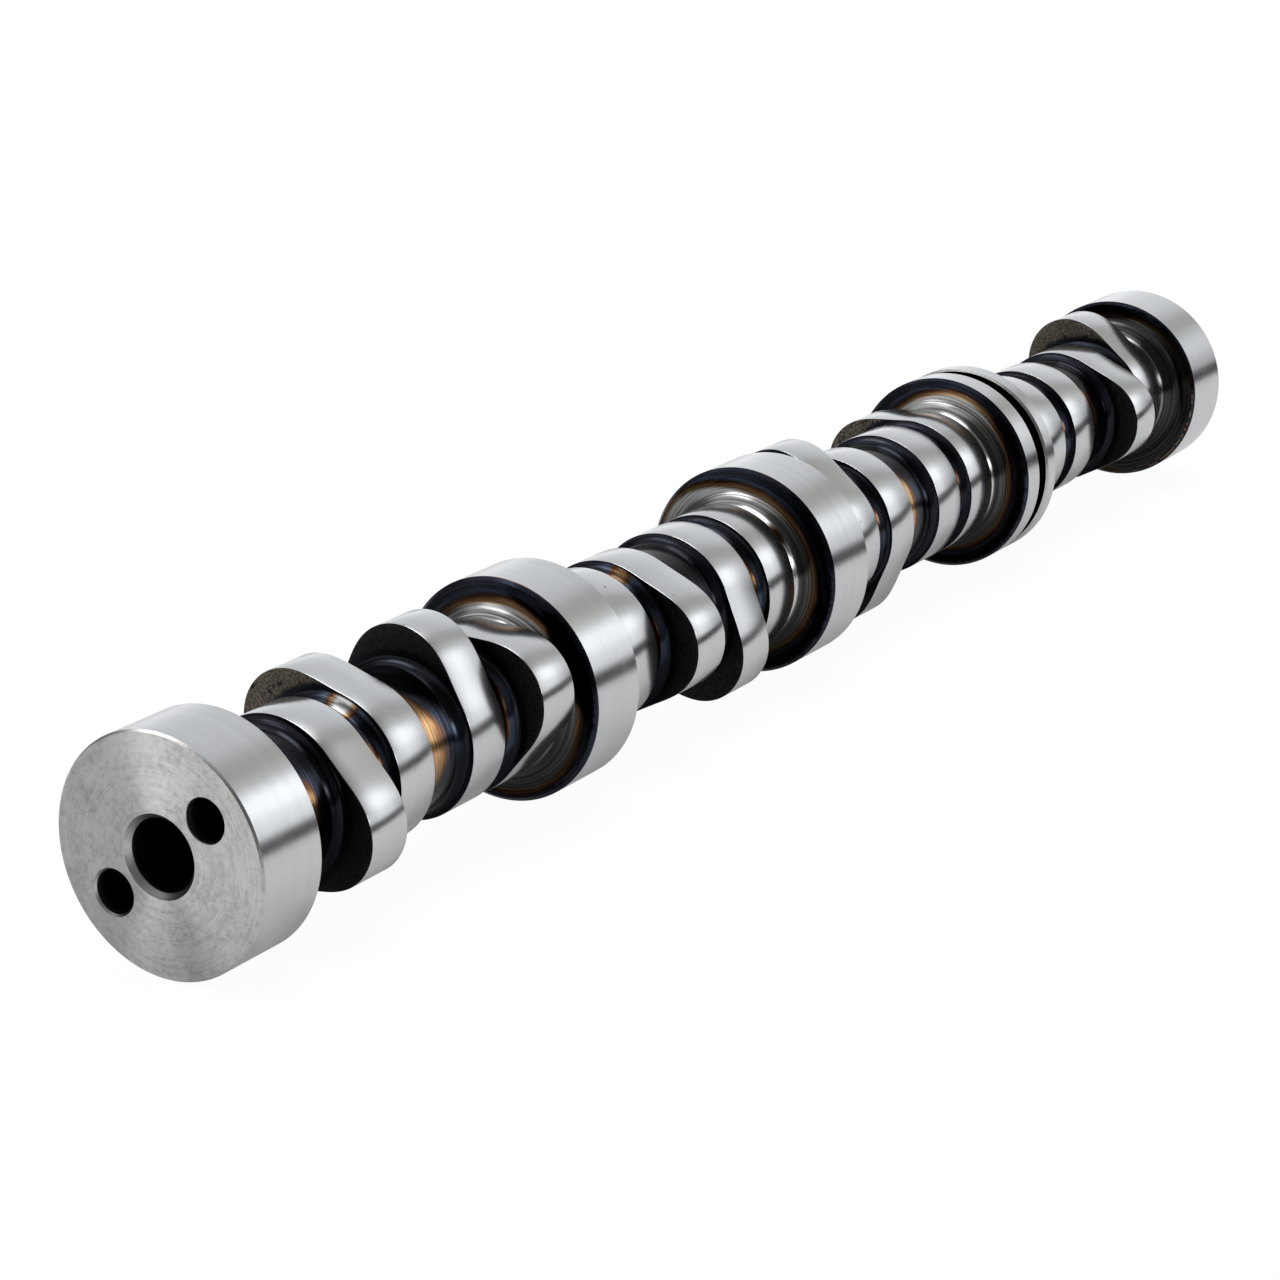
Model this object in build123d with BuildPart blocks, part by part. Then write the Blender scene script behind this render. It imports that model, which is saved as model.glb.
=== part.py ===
"""Camshaft of a 90-degree pushrod V8, with the dowel that times its gear.

Frame: +X runs along the shaft from the timing-gear end to the rear, +Z is up and +Y is to
the right for someone looking forward from the rear.  The origin is on the shaft's axis, in
the plane of the thrust face, which is the front face of the first bearing journal.
Lengths are in millimetres, and angles in degrees, turned about +X from +Y towards +Z.
"""
import os
from math import hypot, prod, radians, tan

from build123d import *

os.makedirs("parts", exist_ok=True)

# ---- bearing journals -------------------------------------------------------------------
JOURNAL_RADIUS = 27.495  # 2.165 in diameter, the same on all five
BEARING_PITCH = 111.76  # 4.400 in from one main bearing wall to the next
FRONT_JOURNAL_WIDTH = 20.0
MIDDLE_JOURNAL_WIDTH = 19.05
REAR_JOURNAL_WIDTH = 19.95
SECOND_JOURNAL_CENTRE = 126.5  # from the thrust face
REAR_JOURNAL_SETBACK = 11.325  # how far the last journal lies behind its bearing pitch
JOURNAL_CHAMFER = 0.9
REAR_FACE_CHAMFER = 0.5

# ---- oil groove round the second journal ------------------------------------------------
GROOVE_WIDTH = 4.8
GROOVE_DEPTH = 4.5
GROOVE_OFFSET = 1.2  # how far the groove lies ahead of the middle of its journal
GROOVE_EDGE_BREAK = 0.6

# ---- necks and collars between the lobes and journals -----------------------------------
NECK_RADIUS = 17.0
NECK_FOOT = 2.1  # leg of the 45-degree cone where a neck meets a lobe or a journal
COLLAR_RADIUS = 19.4  # of the ground length behind each of the first four journals
COLLAR_FOOT = 3.7  # leg of the 45-degree cone where a collar meets its journal

# ---- cam lobes --------------------------------------------------------------------------
BASE_CIRCLE_RADIUS = 19.65
LOBE_LIFT = 7.22
LOBE_WIDTH = 12.7
FOLLOWER_ROLLER_RADIUS = 9.525
HALF_DURATION = 67.8  # shaft angle from a lobe's nose to its base circle
LIFT_EXPONENTS = (2, 6, 12, 20)
FLANK_ARCS = 8  # arcs that follow the raised part of a lobe
OUTER_LOBE_OFFSET = 32.95  # intake lobes, from the middle of their group of four
INNER_LOBE_OFFSET = 13.65  # exhaust lobes, from the middle of their group of four
GROUP_LEAD = 56.5  # middle of a group, ahead of the bearing wall behind it
FRONT_GROUP_ADVANCE = 2.25  # the first group lies this much further forward

# ---- valve timing -----------------------------------------------------------------------
FIRING_ORDER = (1, 8, 7, 2, 6, 5, 4, 3)
BANK_ANGLE = 90.0
LOBE_SEPARATION = 113.0  # shaft angle between a cylinder's exhaust and intake noses
INTAKE_CENTRELINE = 110.0  # crank angle of full intake lift after top dead centre
SHAFT_ROTATION = -145.4  # turn of the shaft from where it stands as cylinder one fires

# ---- nose that carries the timing gear --------------------------------------------------
NOSE_RADIUS = 21.0
NOSE_LENGTH = 4.5
NOSE_CHAMFER = 0.6
GEAR_BOLT_COUNT = 3
GEAR_BOLT_CIRCLE_RADIUS = 14.5
GEAR_BOLT_HOLE_RADIUS = 3.4  # tapping size of an M8 thread
GEAR_BOLT_HOLE_DEPTH = 24.0
GEAR_BOLT_HOLE_MOUTH = 0.6
GEAR_BOLT_ANGLE = 90.0  # of the first bolt, from -Y towards +Z
FRONT_CENTRE_RADIUS = 4.0
FRONT_CENTRE_DEPTH = 14.0
FRONT_CENTRE_MOUTH = 2.0
DOWEL_RADIUS = 3.175  # on the bolts' circle, midway between two of them
DOWEL_LENGTH = 5.5
DOWEL_CHAMFER = 0.6

# ---- rear face --------------------------------------------------------------------------
REAR_BORE_RADIUS = 8.25
REAR_BORE_DEPTH = 32.0
REAR_BORE_MOUTH = 1.25
REAR_HOLE_RADIUS = 5.0
REAR_HOLE_DEPTH = 16.0
REAR_HOLE_CIRCLE_RADIUS = 16.55
REAR_HOLE_ANGLE = 40.0
REAR_HOLE_MOUTHS = (0.15, 0.45)  # one of the pair is countersunk deeper

DRILL_POINT_ANGLE = 118.0

# ---- places along the shaft -------------------------------------------------------------
bearing_walls = [SECOND_JOURNAL_CENTRE + bay * BEARING_PITCH for bay in range(4)]
rear_journal_centre = bearing_walls[3] + REAR_JOURNAL_SETBACK
rear_face = rear_journal_centre + REAR_JOURNAL_WIDTH / 2
nose_face = -NOSE_LENGTH


def span(centre, width):
    """Front and rear end of something of this width."""
    return centre - width / 2, centre + width / 2


journals = [
    (0, FRONT_JOURNAL_WIDTH),
    *[span(wall, MIDDLE_JOURNAL_WIDTH) for wall in bearing_walls[:3]],
    span(rear_journal_centre, REAR_JOURNAL_WIDTH),
]


# ---- cam lobes --------------------------------------------------------------------------
def lobe_angle(cylinder, is_intake):
    """Direction of a lobe's nose.

    The shaft turns about +X at half the crank's speed.  Odd cylinders are on the -Y bank.
    A valve is fully open when its lobe's nose points along its cylinder's bank, and that is
    half a turn after the cylinder fires, plus or minus half the crank's centreline angle.
    """
    firing = FIRING_ORDER.index(cylinder) * 360 / len(FIRING_ORDER)
    exhaust_centreline = 2 * LOBE_SEPARATION - INTAKE_CENTRELINE
    centreline = INTAKE_CENTRELINE / 2 if is_intake else -exhaust_centreline / 2
    bank = BANK_ANGLE / 2 if cylinder % 2 else -BANK_ANGLE / 2
    straight_up = 90
    return straight_up + bank + SHAFT_ROTATION - (firing + 180 + centreline)


def lobe_places():
    """Centre along the shaft and nose angle of every lobe, from the front to the rear."""
    places = []
    for bay, wall in enumerate(bearing_walls):
        middle = wall - GROUP_LEAD - (FRONT_GROUP_ADVANCE if bay == 0 else 0)
        odd, even = 2 * bay + 1, 2 * bay + 2
        places += [
            (middle - OUTER_LOBE_OFFSET, lobe_angle(odd, is_intake=True)),
            (middle - INNER_LOBE_OFFSET, lobe_angle(even, is_intake=False)),
            (middle + INNER_LOBE_OFFSET, lobe_angle(odd, is_intake=False)),
            (middle + OUTER_LOBE_OFFSET, lobe_angle(even, is_intake=True)),
        ]
    return places


def lift_and_slope(turn):
    """Follower lift at a turn from the nose, and its change for each radian of turn.

    The lift is a polynomial with its peak at the nose, and with no lift, speed,
    acceleration or jerk where the raised part of the lobe meets the base circle.
    """
    x = abs(turn) / HALF_DURATION
    lift, slope = LOBE_LIFT, 0.0
    for power in LIFT_EXPONENTS:
        others = [other for other in LIFT_EXPONENTS if other != power]
        weight = -LOBE_LIFT * prod(others) / prod(other - power for other in others)
        lift += weight * x**power
        slope += weight * power * x ** (power - 1) / radians(HALF_DURATION)
    return lift, slope if turn >= 0 else -slope


def lobe_point(turn):
    """Point of a lobe under its roller, when the roller is at this turn from the nose."""
    lift, slope = lift_and_slope(turn)
    roller = BASE_CIRCLE_RADIUS + FOLLOWER_ROLLER_RADIUS + lift
    normal = hypot(roller, slope)
    outward = roller * (1 - FOLLOWER_ROLLER_RADIUS / normal)
    sideways = FOLLOWER_ROLLER_RADIUS * slope / normal
    return Vector(outward, sideways).rotate(Axis.Z, turn)


def lobe_outline():
    """Lobe with its nose along the sketch's X: a chain of arcs, closed by the heel."""
    steps = 2 * FLANK_ARCS
    points = [lobe_point(HALF_DURATION * (2 * step / steps - 1)) for step in range(steps + 1)]
    for start, middle, end in zip(points[::2], points[1::2], points[2::2]):
        ThreePointArc(start, middle, end)
    ThreePointArc(points[-1], (-BASE_CIRCLE_RADIUS, 0), points[0])


lobes = sorted(lobe_places())
lobe_spans = [span(centre, LOBE_WIDTH) for centre, _ in lobes]


# ---- the turned shaft under the lobes ---------------------------------------------------
def journal_outline(front, rear, front_foot, rear_foot, rear_chamfer):
    """Journal with chamfered rims, between the feet of its front and rear faces."""
    Polyline(
        (front, front_foot),
        (front, JOURNAL_RADIUS - JOURNAL_CHAMFER),
        (front + JOURNAL_CHAMFER, JOURNAL_RADIUS),
        (rear - rear_chamfer, JOURNAL_RADIUS),
        (rear, JOURNAL_RADIUS - rear_chamfer),
        (rear, rear_foot),
    )


def neck_outline(front, rear, foot):
    """Neck with a cone at each end."""
    Polyline(
        (front, foot),
        (front + NECK_FOOT, NECK_RADIUS),
        (rear - NECK_FOOT, NECK_RADIUS),
        (rear, foot),
    )


def collar_outline(front, rear, foot):
    """Collar behind a journal, with a cone up to the journal's rear face."""
    Polyline(
        (front, COLLAR_RADIUS + COLLAR_FOOT),
        (front + COLLAR_FOOT, COLLAR_RADIUS),
        (rear, COLLAR_RADIUS),
        (rear, foot),
    )


def shaft_outline():
    """Half section of everything that is turned on the shaft's axis, without the groove."""
    foot = NECK_RADIUS + NECK_FOOT
    collar_foot = COLLAR_RADIUS + COLLAR_FOOT
    journal_outline(*journals[0], NOSE_RADIUS, collar_foot, JOURNAL_CHAMFER)
    for front, rear in journals[1:-1]:
        journal_outline(front, rear, foot, collar_foot, JOURNAL_CHAMFER)
    journal_outline(*journals[-1], foot, 0, REAR_FACE_CHAMFER)
    for front, rear in lobe_spans:
        Line((front, foot), (rear, foot))
    shoulders = sorted(journals + lobe_spans)
    for ahead, behind in zip(shoulders, shoulders[1:]):
        outline = collar_outline if ahead in journals else neck_outline
        outline(ahead[1], behind[0], foot)
    Polyline(
        (0, NOSE_RADIUS),
        (nose_face + NOSE_CHAMFER, NOSE_RADIUS),
        (nose_face, NOSE_RADIUS - NOSE_CHAMFER),
        (nose_face, 0),
        (rear_face, 0),
    )


def groove_outline():
    """Section of the oil groove, with its edges broken at 45 degrees."""
    front, rear = span(bearing_walls[0] - GROOVE_OFFSET, GROOVE_WIDTH)
    outside = JOURNAL_RADIUS + GROOVE_EDGE_BREAK
    inside = JOURNAL_RADIUS - GROOVE_EDGE_BREAK
    floor = JOURNAL_RADIUS - GROOVE_DEPTH
    Polyline(
        (front - 2 * GROOVE_EDGE_BREAK, outside),
        (front, inside),
        (front, floor),
        (rear, floor),
        (rear, inside),
        (rear + 2 * GROOVE_EDGE_BREAK, outside),
        close=True,
    )


# ---- holes ------------------------------------------------------------------------------
def hole_outline(radius, depth, countersink):
    """Half section of a blind hole with a drill point and a 45-degree countersink."""
    point = radius / tan(radians(DRILL_POINT_ANGLE / 2))
    Polyline(
        (0, 0),
        (radius + countersink, 0),
        (radius, countersink),
        (radius, depth),
        (0, depth + point),
        close=True,
    )


def hole_places(plane, radius, count, start_angle):
    """Planes at the mouths of holes spaced evenly round a circle on the given plane."""
    angles = [start_angle + 360 / count * hole for hole in range(count)]
    spokes = [Vector(radius, 0).rotate(Axis.Z, angle) for angle in angles]
    return [Plane(plane.from_local_coords(spoke), plane.x_dir, plane.z_dir) for spoke in spokes]


nose_plane = Plane((nose_face, 0, 0), x_dir=(0, -1, 0), z_dir=(-1, 0, 0))
rear_plane = Plane((rear_face, 0, 0), x_dir=(0, 1, 0), z_dir=(1, 0, 0))
bolt_planes = hole_places(nose_plane, GEAR_BOLT_CIRCLE_RADIUS, GEAR_BOLT_COUNT, GEAR_BOLT_ANGLE)
dowel_angle = GEAR_BOLT_ANGLE + 180 / GEAR_BOLT_COUNT
dowel_plane = hole_places(nose_plane, GEAR_BOLT_CIRCLE_RADIUS, 1, dowel_angle)[0]
rear_planes = hole_places(rear_plane, REAR_HOLE_CIRCLE_RADIUS, 2, REAR_HOLE_ANGLE)

holes = [
    (nose_plane, FRONT_CENTRE_RADIUS, FRONT_CENTRE_DEPTH, FRONT_CENTRE_MOUTH),
    (rear_plane, REAR_BORE_RADIUS, REAR_BORE_DEPTH, REAR_BORE_MOUTH),
]
for plane in bolt_planes:
    holes.append((plane, GEAR_BOLT_HOLE_RADIUS, GEAR_BOLT_HOLE_DEPTH, GEAR_BOLT_HOLE_MOUTH))
for plane, mouth in zip(rear_planes, REAR_HOLE_MOUTHS):
    holes.append((plane, REAR_HOLE_RADIUS, REAR_HOLE_DEPTH, mouth))

# ---- camshaft ---------------------------------------------------------------------------
with BuildPart() as camshaft:
    with BuildSketch(Plane.XY):
        with BuildLine():
            shaft_outline()
        make_face()
    revolve(axis=Axis.X)

    with BuildSketch(Plane.XY):
        with BuildLine():
            groove_outline()
        make_face()
    revolve(axis=Axis.X, mode=Mode.SUBTRACT)

    for (front, _), (_, angle) in zip(lobe_spans, lobes):
        nose_direction = Vector(0, 1, 0).rotate(Axis.X, angle)
        with BuildSketch(Plane((front, 0, 0), x_dir=nose_direction, z_dir=(1, 0, 0))):
            with BuildLine():
                lobe_outline()
            make_face()
        extrude(amount=LOBE_WIDTH)

    for mouth, *sizes in holes:
        with BuildSketch(Plane(mouth.origin, x_dir=mouth.x_dir, z_dir=mouth.y_dir)):
            with BuildLine():
                hole_outline(*sizes)
            make_face()
        revolve(axis=Axis(mouth.origin, mouth.z_dir), mode=Mode.SUBTRACT)

    with BuildSketch(dowel_plane):
        Circle(DOWEL_RADIUS)
    extrude(amount=DOWEL_LENGTH)
    dowel_tip = camshaft.edges().filter_by(GeomType.CIRCLE).sort_by(Axis.X)[0]
    chamfer(dowel_tip, DOWEL_CHAMFER)

camshaft.part.label = "camshaft"
export_step(camshaft.part, "parts/camshaft.step")
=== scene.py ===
"""Camshaft of a 90-degree pushrod V8, dressed: ground journals and lobes, and necks,
lobe sides and a rear face as heat and tools left them, with painted highlights and
painted shade in the tones of the necks, the journals' sides, the rear face and the holes.

Frame, in metres: +X runs along the shaft from the timing-gear end to the rear, +Z is up,
and the origin is on the shaft's axis in the plane of the thrust face.  Shapes are worked
out in millimetres.  A clock angle is in degrees: 0 at the top, 90 level on the +Y side.
"""
from math import cos, pi, radians, sin
from typing import NamedTuple

import bmesh
import bpy
import numpy as np
from bpy.props import FloatProperty, FloatVectorProperty, PointerProperty
from mathutils import Matrix, Vector
from mathutils.geometry import delaunay_2d_cdt


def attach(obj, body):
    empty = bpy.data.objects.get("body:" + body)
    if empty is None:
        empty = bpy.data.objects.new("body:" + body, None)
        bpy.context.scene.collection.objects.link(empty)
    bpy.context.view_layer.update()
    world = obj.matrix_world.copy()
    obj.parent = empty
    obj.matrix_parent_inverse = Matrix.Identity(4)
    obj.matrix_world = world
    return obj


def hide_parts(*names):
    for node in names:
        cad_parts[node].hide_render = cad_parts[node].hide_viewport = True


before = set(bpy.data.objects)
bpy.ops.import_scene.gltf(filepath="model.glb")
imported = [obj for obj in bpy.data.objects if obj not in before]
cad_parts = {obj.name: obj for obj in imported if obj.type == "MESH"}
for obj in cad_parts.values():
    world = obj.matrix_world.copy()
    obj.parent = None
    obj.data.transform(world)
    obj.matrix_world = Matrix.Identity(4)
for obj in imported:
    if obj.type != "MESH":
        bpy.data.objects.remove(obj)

bl_info = {
    "name": "V8 camshaft",
    "version": (1, 0, 0),
    "blender": (4, 5, 0),
    "location": "View3D > Sidebar > Camshaft",
    "description": "Builds a dressed V8 camshaft and its studio",
    "category": "Add Mesh",
}

MM = 0.001
BODY = "root"
NODE = "camshaft"

# ---- layout along the shaft, mm ----
BAYS = 4
BEARING_PITCH = 111.76
SECOND_JOURNAL_CENTRE = 126.5
FRONT_JOURNAL_WIDTH = 20.0
MIDDLE_JOURNAL_WIDTH = 19.05
REAR_JOURNAL_WIDTH = 19.95
REAR_JOURNAL_SETBACK = 11.325
OUTER_LOBE_OFFSET = 32.95
INNER_LOBE_OFFSET = 13.65
GROUP_LEAD = 56.5
FRONT_GROUP_ADVANCE = 2.25
STUB = 3.0  # how far a neck goes on inside the lobe next to it
FILLET_STOP = 0.35  # how far below a lobe's heel the neck's fillet ends

JOURNAL_NAMES = ("front", "second", "third", "fourth", "rear")
FRONT_JOURNAL, GROOVED_JOURNAL, REAR_JOURNAL = 0, 1, 4

# ---- valve timing, degrees of the shaft ----
FIRING_ORDER = (1, 8, 7, 2, 6, 5, 4, 3)
HALF_BANK_ANGLE = 45.0
INTAKE_CENTRELINE = 55.0
EXHAUST_CENTRELINE = -58.0
SHAFT_ROTATION = -145.4
HALF_DURATION = 67.8
LIFT_EXPONENTS = (2, 6, 12, 20)

# ---- points round a piece ----
ROUND_STEPS = 256
HOLE_STEPS = 64
LOBE_FLANK_STEPS = 190
LOBE_HEEL_STEPS = 66
LOBE_SIDE_RINGS = (0.0, 0.3, 0.6, 0.85, 0.95)  # shares of the outline
EDGE_STEPS = 4
FILLET_STEPS = 20
NECK_STEPS = 16
SHOULDER_RINGS = 12
SHARP_ANGLE = 35.0
WELD = 1e-6  # metres


def span(centre, width):
    """Front and rear end of a width."""
    return centre - width / 2, centre + width / 2


BEARING_WALLS = [SECOND_JOURNAL_CENTRE + bay * BEARING_PITCH for bay in range(BAYS)]
JOURNAL_SPANS = [
    (0.0, FRONT_JOURNAL_WIDTH),
    *[span(wall, MIDDLE_JOURNAL_WIDTH) for wall in BEARING_WALLS[:-1]],
    span(BEARING_WALLS[-1] + REAR_JOURNAL_SETBACK, REAR_JOURNAL_WIDTH),
]


class Lobe(NamedTuple):
    """A cam lobe: its middle along the shaft, and its nose's angle from +Y towards +Z."""

    name: str
    centre: float
    angle: float


def lobe_angle(cylinder, is_intake):
    """Angle of a nose: back from its bank's follower by the firing angle and centreline."""
    firing = FIRING_ORDER.index(cylinder) * 360 / len(FIRING_ORDER)
    centreline = INTAKE_CENTRELINE if is_intake else EXHAUST_CENTRELINE
    bank = HALF_BANK_ANGLE if cylinder % 2 else -HALF_BANK_ANGLE
    return 90 + bank + SHAFT_ROTATION - (firing + 180 + centreline)


def lobes_from_front():
    """The four lobes ahead of each bearing wall, odd and even in turn."""
    lobes = []
    for bay, wall in enumerate(BEARING_WALLS):
        middle = wall - GROUP_LEAD - (FRONT_GROUP_ADVANCE if bay == 0 else 0)
        odd, even = 2 * bay + 1, 2 * bay + 2
        for cylinder, is_intake, offset in (
            (odd, True, -OUTER_LOBE_OFFSET),
            (even, False, -INNER_LOBE_OFFSET),
            (odd, False, INNER_LOBE_OFFSET),
            (even, True, OUTER_LOBE_OFFSET),
        ):
            name = f"lobe_{cylinder}_{'intake' if is_intake else 'exhaust'}"
            lobes.append(Lobe(name, middle + offset, lobe_angle(cylinder, is_intake)))
    return lobes


LOBES = lobes_from_front()


# ---- holes and dowel, mm ----
class Hole(NamedTuple):
    """A blind hole: its axis, radius and depth, and its countersink's leg."""

    y: float
    z: float
    radius: float
    depth: float
    mouth: float


def on_circle(radius, angle, side=1):
    """y and z on a circle round the axis, at an angle towards +Z from +Y, or from -Y."""
    return side * radius * cos(radians(angle)), radius * sin(radians(angle))


BOLT_CIRCLE_RADIUS = 14.5
DOWEL_CENTRE = on_circle(BOLT_CIRCLE_RADIUS, 150.0, -1)
BOLT_ANGLES = (90.0, 210.0, 330.0)
NOSE_HOLES = (
    Hole(0.0, 0.0, radius=4.0, depth=14.0, mouth=2.0),
    *[Hole(*on_circle(BOLT_CIRCLE_RADIUS, angle, -1), radius=3.4, depth=24.0, mouth=0.6)
      for angle in BOLT_ANGLES],
)
REAR_CIRCLE_RADIUS = 16.55
REAR_HOLES = (
    Hole(0.0, 0.0, radius=8.25, depth=32.0, mouth=1.25),
    Hole(*on_circle(REAR_CIRCLE_RADIUS, 40.0), radius=5.0, depth=16.0, mouth=0.15),
    Hole(*on_circle(REAR_CIRCLE_RADIUS, 220.0), radius=5.0, depth=16.0, mouth=0.45),
)
MOUTH_EDGE = 0.05  # share of a countersink that its outermost ring takes
WALL_RINGS = (0.25, 0.5, 1.0)  # shares of a hole's depth
DRILL_POINT = 0.60026  # depth of a drill's point for each mm of its radius
# Half section of the dowel: distance behind the nose's face, and radius.
DOWEL_OUTLINE = (
    (-5.5, 0.0), (-5.5, 2.575), (-5.3, 2.9), (-4.9, 3.175), (0.0, 3.175), (3.0, 3.175),
    (3.0, 0.0),
)


# ---- sizes and finishes a user may change ----
def length(name, description, millimetres):
    """A length, shown in the scene's units."""
    return FloatProperty(
        name=name, description=description, default=millimetres * MM, min=0.0,
        subtype="DISTANCE", unit="LENGTH",
    )


def colour(name, description, *default):
    """A linear colour."""
    return FloatVectorProperty(
        name=name, description=description, default=default, size=3, min=0.0, max=1.0,
        subtype="COLOR",
    )


class CamshaftSizes(bpy.types.PropertyGroup):
    """Sizes of the shaft's sections."""

    journal_radius: length("Journal radius", "Radius of the five bearing journals", 27.495)
    journal_chamfer: length("Journal chamfer", "Leg of the chamfer on a journal's rim", 0.9)
    rear_chamfer: length("Rear chamfer", "Leg of the chamfer round the rear face", 0.5)
    neck_radius: length("Neck radius", "Radius of the shaft between the lobes", 17.0)
    collar_radius: length("Collar radius", "Radius of the shaft behind a journal", 19.4)
    collar_fillet: length("Collar fillet", "Radius from a collar up to its journal", 6.35)
    fillet_radius: length("Fillet radius", "Radius where a neck meets a shoulder", 3.2)
    base_radius: length("Base circle radius", "Radius of a lobe's heel", 19.65)
    lobe_lift: length("Lobe lift", "How far a lobe's nose stands above its heel", 7.22)
    lobe_width: length("Lobe width", "Width of a lobe's track", 12.7)
    roller_radius: length("Roller radius", "Radius of the follower's roller", 9.525)
    edge_round: length("Edge rounding", "Radius of the broken edge of a lobe", 0.25)
    groove_width: length("Groove width", "Width of the oil groove", 4.8)
    groove_depth: length("Groove depth", "Depth of the oil groove", 4.5)
    groove_offset: length("Groove offset", "Groove ahead of its journal's middle", 1.2)
    groove_break: length("Groove edge break", "Chamfer on the groove's edges", 0.6)
    nose_radius: length("Nose radius", "Radius of the spigot for the gear", 21.0)
    nose_length: length("Nose length", "How far the spigot stands forward", 4.5)
    nose_chamfer: length("Nose chamfer", "Leg of the chamfer on the spigot", 0.6)


class CamshaftFinishes(bpy.types.PropertyGroup):
    """Colours of the shaft's metal."""

    ground: colour("Ground steel", "Journals and cam tracks", 0.65, 0.66, 0.67)
    faced: colour("Faced steel", "Rear face and gear spigot", 0.62, 0.61, 0.595)
    turned: colour("Turned steel", "Necks and shoulders that stayed cool", 0.34, 0.335, 0.33)
    straw: colour("Straw tint", "Steel that was warmed a little", 0.34, 0.20, 0.10)
    brown: colour("Brown tint", "Steel that was warmed more", 0.085, 0.040, 0.018)
    blue: colour("Blue-black tint", "Steel that was hot", 0.030, 0.037, 0.058)
    oxide: colour("Black oxide", "Steel beside a hardened edge", 0.012, 0.013, 0.017)
    scale: colour("Scale", "Rough skin beside the lobes' noses", 0.17, 0.145, 0.115)


# ---- meshes ----
class Skin:
    """Grids of points that become one closed mesh.

    Each point carries two numbers for its material: field is its heat, depth or share of
    scale, and tone makes its colour brighter or darker, painted highlights and painted
    shade included.
    """

    def __init__(self):
        self.points, self.faces, self.slots = [], [], []
        self.values = {"field": [], "tone": []}
        self.count = 0

    def add(self, points, faces, slots, field=0.0, tone=1.0):
        """Adds points in mm, and faces with a slot each."""
        self.points.append(np.asarray(points, float).reshape(-1, 3))
        self.faces += (np.asarray(faces) + self.count).tolist()
        self.slots.append(np.broadcast_to(slots, len(faces)))
        added = self.points[-1].shape[0]
        self.values["field"].append(np.broadcast_to(field, added))
        self.values["tone"].append(np.broadcast_to(tone, added))
        self.count += added

    def grid(self, points, slots, field=0.0, tone=1.0):
        """Adds points (rows, columns, 3) whose columns close into a ring.

        slots has one entry for each strip between rows; field and tone have one for each
        row, or one for each point.
        """
        rows, columns = points.shape[:2]
        index = np.arange(rows * columns).reshape(rows, columns)
        beside = np.roll(index, -1, axis=1)
        corners = (index[:-1], beside[:-1], beside[1:], index[1:])
        faces = np.stack(corners, axis=-1).reshape(-1, 4)
        strip_slots = np.repeat(np.broadcast_to(slots, rows - 1), columns)
        spread = [self.spread(value, rows, columns) for value in (field, tone)]
        self.add(points, faces, strip_slots, *spread)

    @staticmethod
    def spread(value, rows, columns):
        """A value for each point of a grid, from one, one a row or one a point."""
        value = np.asarray(value, float)
        value = value[:, None] if value.ndim == 1 else value
        return np.broadcast_to(value, (rows, columns)).ravel()

    def mesh(self, name):
        """Welds the seams, turns the faces outwards and marks the sharp edges."""
        mesh = bpy.data.meshes.new(name)
        mesh.from_pydata((np.concatenate(self.points) * MM).tolist(), [], self.faces)
        mesh.polygons.foreach_set("material_index", np.concatenate(self.slots).astype(np.int32))
        for key, values in self.values.items():
            attribute = mesh.attributes.new(key, "FLOAT", "POINT")
            attribute.data.foreach_set("value", np.concatenate(values).astype(np.float32))
        sheet = bmesh.new()
        sheet.from_mesh(mesh)
        bmesh.ops.remove_doubles(sheet, verts=sheet.verts, dist=WELD)
        bmesh.ops.recalc_face_normals(sheet, faces=sheet.faces)
        sheet.to_mesh(mesh)
        sheet.free()
        sides = np.empty(len(mesh.loops), np.int32)
        mesh.loops.foreach_get("edge_index", sides)
        if np.any(np.bincount(sides, minlength=len(mesh.edges)) != 2):
            raise RuntimeError(f"{name} can't be closed with these sizes")
        mesh.shade_smooth()
        mesh.set_sharp_from_angle(angle=radians(SHARP_ANGLE))
        return mesh


def place_piece(name, skin, materials):
    """Makes the skin an object that stands for the shaft."""
    piece = bpy.data.objects.new(name, skin.mesh(name))
    for material in materials:
        piece.data.materials.append(material)
    bpy.context.scene.collection.objects.link(piece)
    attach(piece, BODY)
    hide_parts(NODE)


def revolved(places, radii, centre=(0.0, 0.0), steps=ROUND_STEPS):
    """Rings round an axis along X, one for each place and radius."""
    turn = np.arange(steps) * 2 * pi / steps
    places, radii = np.asarray(places, float), np.asarray(radii, float)
    along = np.repeat(places[:, None], steps, axis=1)
    across = centre[0] + radii[:, None] * np.cos(turn)
    up = centre[1] + radii[:, None] * np.sin(turn)
    return np.stack([along, across, up], axis=-1)


def ring_clock(steps):
    """Clock angle of each point of a ring, in radians."""
    return pi / 2 - np.arange(steps) * 2 * pi / steps


ROUND_CLOCK = ring_clock(ROUND_STEPS)


def swell(side, narrow, clock=ROUND_CLOCK):
    """1 on one side, near 0 on the other: exp(narrow * (cos(clock - side) - 1))."""
    return np.exp(narrow * (np.cos(clock - radians(side)) - 1))


def read(table, value):
    """Reads a table of (value, result) pairs, straight between them."""
    return np.interp(value, *zip(*table))


# ---- finish of the faces and holes ----
GROUND, TINTED, FACED, BORED = range(4)  # material slots of the shaft's pieces
HOLE_PAINTED_GLINT_SIDE = (-100.0, 3.0)  # clock angle and narrowness of the holes' painted highlight
BORE_PAINTED_TONES = (0.12, 1.1)  # painted dark tone of a rear hole, and how much brighter its painted highlight is


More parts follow.
